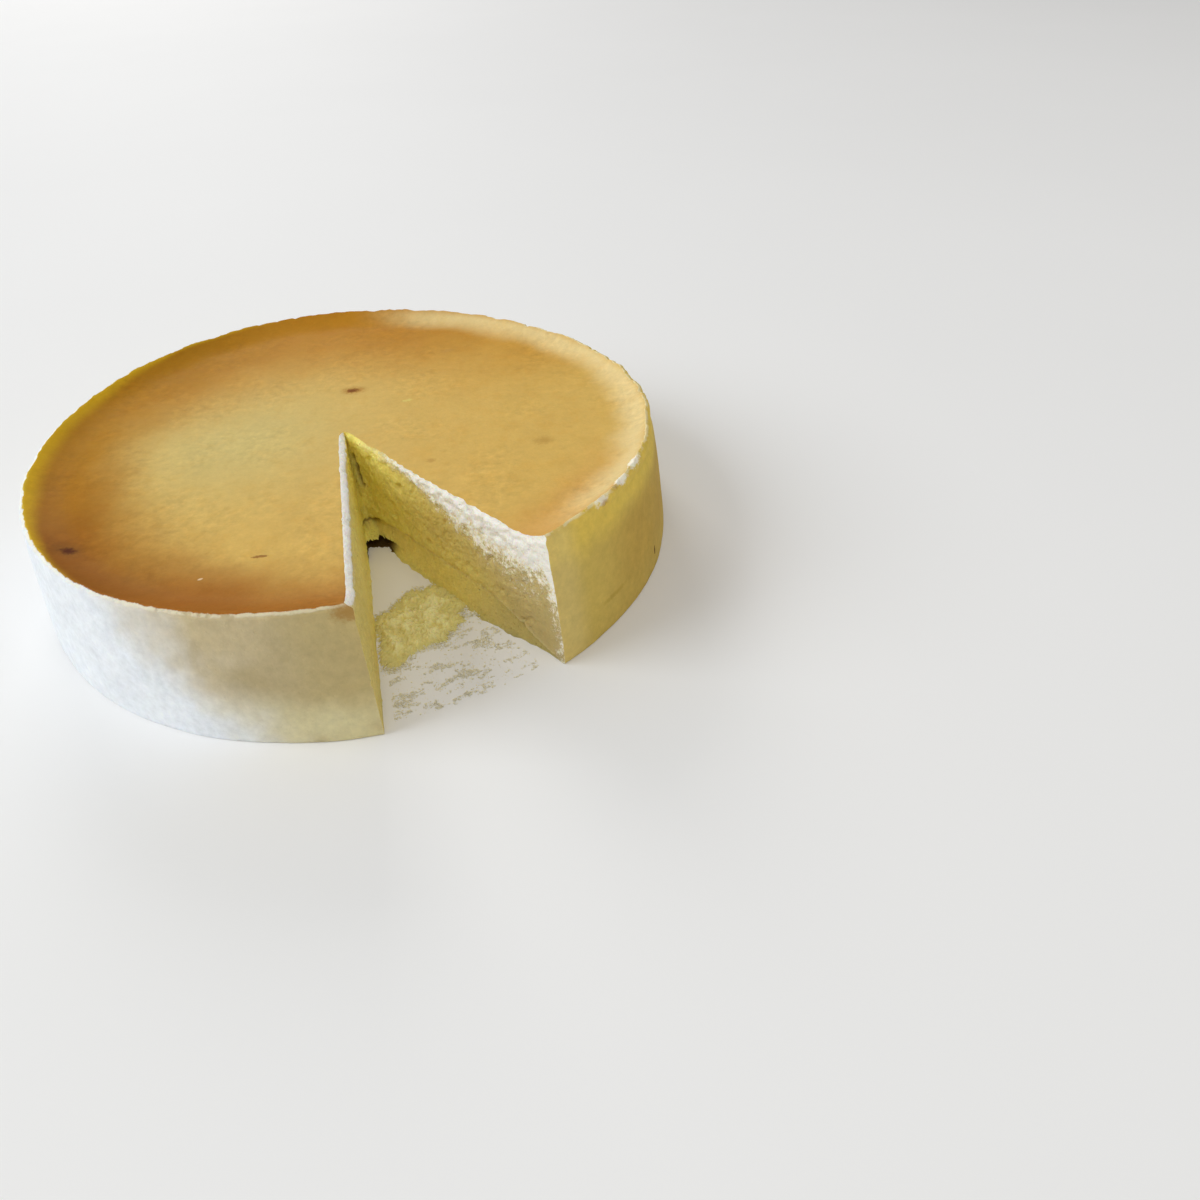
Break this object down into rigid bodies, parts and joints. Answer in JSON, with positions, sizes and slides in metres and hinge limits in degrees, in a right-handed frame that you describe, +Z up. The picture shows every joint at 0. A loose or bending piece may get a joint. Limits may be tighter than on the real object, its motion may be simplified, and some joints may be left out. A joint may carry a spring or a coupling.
{
  "type": "cheesecake",
  "caption": "Round crustless baked cheesecake with a browned, dished top and a narrow slice cut out, a smear of cake left in the gap.",
  "frame": {"origin": "centre of the round base, on the surface the cake rests on", "axes": "+Z up through the cake; the slice is cut out towards +X and -Y, its faces about 78 and 48 degrees clockwise from +X seen from above"},
  "size_m": [0.2498, 0.2499, 0.0525],
  "materials": {
    "baked_cheese": "satin browned skin, pale cream sides and cut faces",
    "cheese_crumb": "matt, moist crumb"
  },
  "bodies": {
    "root": {"cake": "baked_cheese", "base_smear": "cheese_crumb"}
  },
  "joints": []
}
